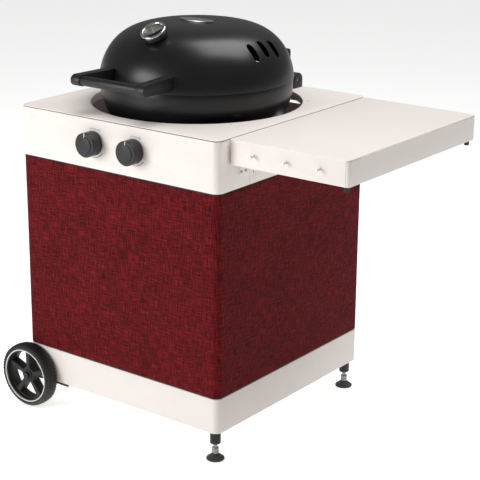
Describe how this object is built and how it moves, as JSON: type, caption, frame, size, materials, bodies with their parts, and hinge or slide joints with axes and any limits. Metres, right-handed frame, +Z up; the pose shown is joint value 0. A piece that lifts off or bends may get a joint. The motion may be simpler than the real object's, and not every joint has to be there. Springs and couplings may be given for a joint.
{
  "type": "gas barbecue grill",
  "caption": "Kettle-style gas barbecue on a fabric-clad cabinet with a folding side shelf, wheels and levelling feet.",
  "frame": {"origin": "centre of the footprint box on the floor", "axes": "+Z up, -Y the front with the knobs and the lid handle, +X the side shelf"},
  "size_m": [1.18, 0.813, 1.1852],
  "materials": {
    "white_powder_coat": "satin",
    "red_textile": "woven",
    "black_frame": "satin",
    "black_rubber": "matte",
    "black_enamel": "satin",
    "black_plastic": "satin",
    "dark_knob": "satin",
    "brushed_badge": "brushed",
    "polished_chrome": "polished",
    "dial_face": "matte",
    "clear_glass": "clear",
    "cream_enamel": "satin",
    "zinc_steel": "satin",
    "stainless_steel": "brushed",
    "brass": "satin",
    "cast_iron_grate": "matte",
    "white_plastic": "satin",
    "tyre_rubber": "matte"
  },
  "bodies": {
    "cabinet": {"plinth": "white_powder_coat", "bottle_platform": "white_powder_coat", "cabinet_frame": "black_frame", "textile_cover": "red_textile", "textile_rails": "black_frame", "control_panel": "white_powder_coat", "housing_sides": "white_powder_coat", "housing_rear": "white_powder_coat", "plate_seal": "black_rubber", "top_plate": "white_powder_coat", "kettle_bowl": "black_enamel", "lid_hinge_blocks": "black_plastic", "lid_hinge_pin": "zinc_steel", "burner_large": "stainless_steel", "burner_small": "stainless_steel", "gas_manifold_pipe": "stainless_steel", "gas_inlet": "brass", "gas_valves": "brass", "ignition_harness": "black_rubber", "flame_deflector": "black_enamel", "cooking_grate": "cast_iron_grate", "knob_bezels": "black_plastic", "axle_brackets": "black_frame", "wheel_axle": "black_frame", "foot_sleeves": "black_plastic", "shelf_hinge_brackets": "white_powder_coat", "shelf_hinge_fasteners": "zinc_steel"},
    "lid": {"lid_shell": "black_enamel", "handle_grip": "black_plastic", "handle_brackets": "black_plastic", "lid_badge": "brushed_badge", "gauge_foot": "black_plastic", "gauge_bezel": "polished_chrome", "gauge_dial": "dial_face", "gauge_glass": "clear_glass", "gauge_probe": "zinc_steel", "lid_hinge_arms": "black_plastic"},
    "needle": {"gauge_needle": "cream_enamel"},
    "stem_left": {"knob_stem_left": "zinc_steel"},
    "knob_left": {"knob_left": "dark_knob", "knob_pointer_left": "white_plastic"},
    "stem_right": {"knob_stem_right": "zinc_steel"},
    "knob_right": {"knob_right": "dark_knob", "knob_pointer_right": "white_plastic"},
    "wheel_front": {"tyre_front": "tyre_rubber", "wheel_rim_front": "black_plastic", "wheel_trim_front": "white_plastic"},
    "pad_front": {"foot_pad_front": "black_rubber"},
    "screw_front": {"foot_screw_front": "zinc_steel"},
    "wheel_rear": {"tyre_rear": "tyre_rubber", "wheel_rim_rear": "black_plastic", "wheel_trim_rear": "white_plastic"},
    "pad_rear": {"foot_pad_rear": "black_rubber"},
    "screw_rear": {"foot_screw_rear": "zinc_steel"},
    "shelf": {"shelf_tray": "white_powder_coat", "shelf_end_apron": "white_powder_coat", "shelf_frame": "zinc_steel", "utensil_hooks": "polished_chrome", "shelf_buffers": "black_rubber"},
    "tray": {"drip_tray": "stainless_steel"}
  },
  "joints": [
    {"name": "lid_hinge", "type": "hinge", "parent": "cabinet", "child": "lid", "pos_m": [-0.148, 0.3315, 0.956], "axis": [-1, 0, 0], "range_deg": [0, 80]},
    {"name": "gauge_needle_turn", "type": "hinge", "parent": "lid", "child": "needle", "pos_m": [-0.14, -0.1885, 1.14811], "axis": [0, 0.5299, -0.848], "range_deg": [0, 200], "stiffness_Nm_per_rad": 0.005},
    {"name": "knob_left_turn", "type": "hinge", "parent": "cabinet", "child": "stem_left", "pos_m": [-0.226, -0.3595, 0.861], "axis": [0, -1, 0], "range_deg": [0, 230]},
    {"name": "knob_left_press", "type": "slide", "parent": "stem_left", "child": "knob_left", "axis": [0, 1, 0], "range_m": [0, 0.003], "stiffness_N_per_m": 2000, "springref_m": -0.002},
    {"name": "knob_right_turn", "type": "hinge", "parent": "cabinet", "child": "stem_right", "pos_m": [-0.076, -0.3595, 0.861], "axis": [0, -1, 0], "range_deg": [0, 230]},
    {"name": "knob_right_press", "type": "slide", "parent": "stem_right", "child": "knob_right", "axis": [0, 1, 0], "range_m": [0, 0.003], "stiffness_N_per_m": 2000, "springref_m": -0.002},
    {"name": "wheel_front_spin", "type": "hinge", "parent": "cabinet", "child": "wheel_front", "pos_m": [-0.49, -0.3795, 0.1], "axis": [0, 1, 0], "continuous": true},
    {"name": "wheel_rear_spin", "type": "hinge", "parent": "cabinet", "child": "wheel_rear", "pos_m": [-0.49, 0.3795, 0.1], "axis": [0, 1, 0], "continuous": true},
    {"name": "shelf_fold", "type": "hinge", "parent": "cabinet", "child": "shelf", "pos_m": [0.224, 0.014, 0.853], "axis": [0, 1, 0], "range_deg": [0, 90]},
    {"name": "foot_front_height", "type": "slide", "parent": "cabinet", "child": "pad_front", "axis": [0, 0, -1], "range_m": [-0.008, 0.008]},
    {"name": "foot_front_screw", "type": "hinge", "parent": "pad_front", "child": "screw_front", "pos_m": [0.187, -0.3315, 0.04], "axis": [0, 0, 1], "range_deg": [-1650, 1650]},
    {"name": "foot_rear_height", "type": "slide", "parent": "cabinet", "child": "pad_rear", "axis": [0, 0, -1], "range_m": [-0.008, 0.008]},
    {"name": "foot_rear_screw", "type": "hinge", "parent": "pad_rear", "child": "screw_rear", "pos_m": [0.187, 0.3315, 0.04], "axis": [0, 0, 1], "range_deg": [-1650, 1650]},
    {"name": "drip_tray_slide", "type": "slide", "parent": "cabinet", "child": "tray", "axis": [0, 1, 0], "range_m": [0, 0.25]}
  ],
  "couplings": [
    {"joint": "foot_front_screw", "follows": "foot_front_height", "rad_per_m": 3590.4},
    {"joint": "foot_rear_screw", "follows": "foot_rear_height", "rad_per_m": 3590.4}
  ]
}
